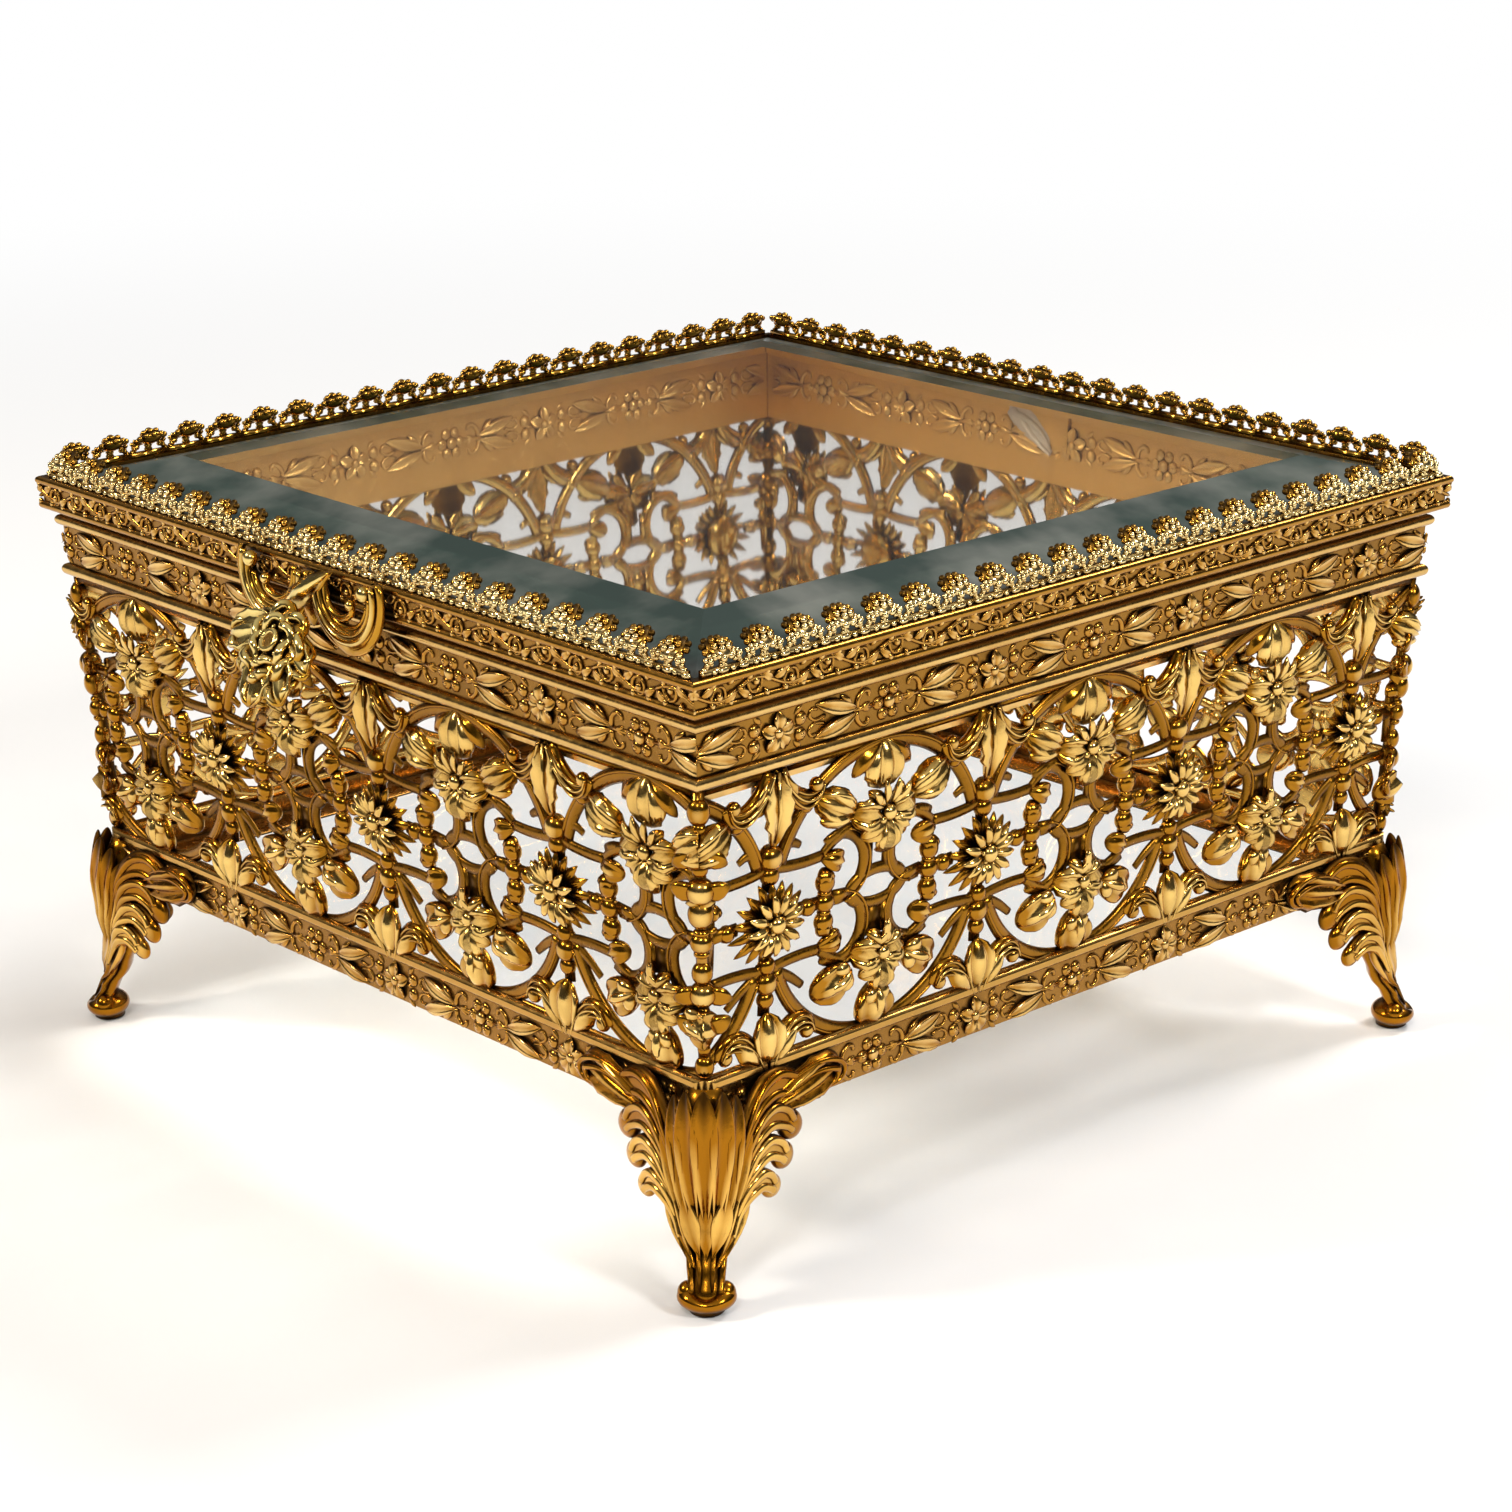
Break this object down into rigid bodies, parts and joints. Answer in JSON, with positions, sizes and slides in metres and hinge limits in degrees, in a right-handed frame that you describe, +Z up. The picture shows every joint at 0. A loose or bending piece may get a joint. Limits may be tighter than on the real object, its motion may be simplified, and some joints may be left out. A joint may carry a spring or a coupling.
{
  "type": "glass casket box",
  "caption": "Square gilt metal jewel casket with openwork filigree walls, cabriole corner feet and a hinged bevelled glass lid under a leaning crest gallery.",
  "frame": {"origin": "bottom centre of the bounding box, on the plane that the four toes stand on", "axes": "+Z up, the thumb-piece faces -Y, the hinge is at +Y"},
  "size_m": [0.14, 0.1542, 0.0869],
  "materials": {
    "filigree_gilt": "gilt stamped openwork with dark patina in the recesses",
    "band_gilt": "gilt relief strip, worn bright on the high parts and dark in the recesses",
    "bead_gilt": "plain rolled bead, bright and slightly worn",
    "sheet_gilt": "smooth sheet, satin, slightly dull",
    "foot_gilt": "gilt casting with dark patina in the flutes",
    "crest_gilt": "pierced gilt strip with beaded trefoils, dark between the beads",
    "thumb_gilt": "gilt stamped ornament, bright on the ridges",
    "bevelled_glass": "polished clear plate, its bevel dark grey green",
    "floor_glass": "plain clear sheet, a little dusty"
  },
  "bodies": {
    "box": {"floor_plate": "floor_glass", "base_band": "band_gilt", "base_moulding": "bead_gilt", "filigree_front": "filigree_gilt", "filigree_right": "filigree_gilt", "filigree_back": "filigree_gilt", "filigree_left": "filigree_gilt", "rim_band_front": "band_gilt", "rim_band_right": "band_gilt", "rim_band_back": "band_gilt", "rim_band_left": "band_gilt", "rim_liner": "sheet_gilt", "foot_front_right": "foot_gilt", "foot_back_right": "foot_gilt", "foot_back_left": "foot_gilt", "foot_front_left": "foot_gilt", "hinge_leaf_body": "sheet_gilt", "hinge_pin": "sheet_gilt"},
    "lid": {"lid_band_front": "band_gilt", "lid_band_right": "band_gilt", "lid_band_back": "band_gilt", "lid_band_left": "band_gilt", "glass_seat": "sheet_gilt", "glass_panel": "bevelled_glass", "crest_gallery_front": "crest_gilt", "crest_gallery_right": "crest_gilt", "crest_gallery_back": "crest_gilt", "crest_gallery_left": "crest_gilt", "thumb_scroll_plate": "thumb_gilt", "thumb_leaf_spray": "thumb_gilt", "thumb_blossom": "thumb_gilt", "thumb_rivet": "thumb_gilt", "hinge_leaf_lid": "sheet_gilt"}
  },
  "joints": [
    {"name": "lid_hinge", "type": "hinge", "parent": "box", "child": "lid", "pos_m": [-0.003, 0.07576, 0.0763], "axis": [-1, 0, 0], "range_deg": [0, 105]}
  ]
}
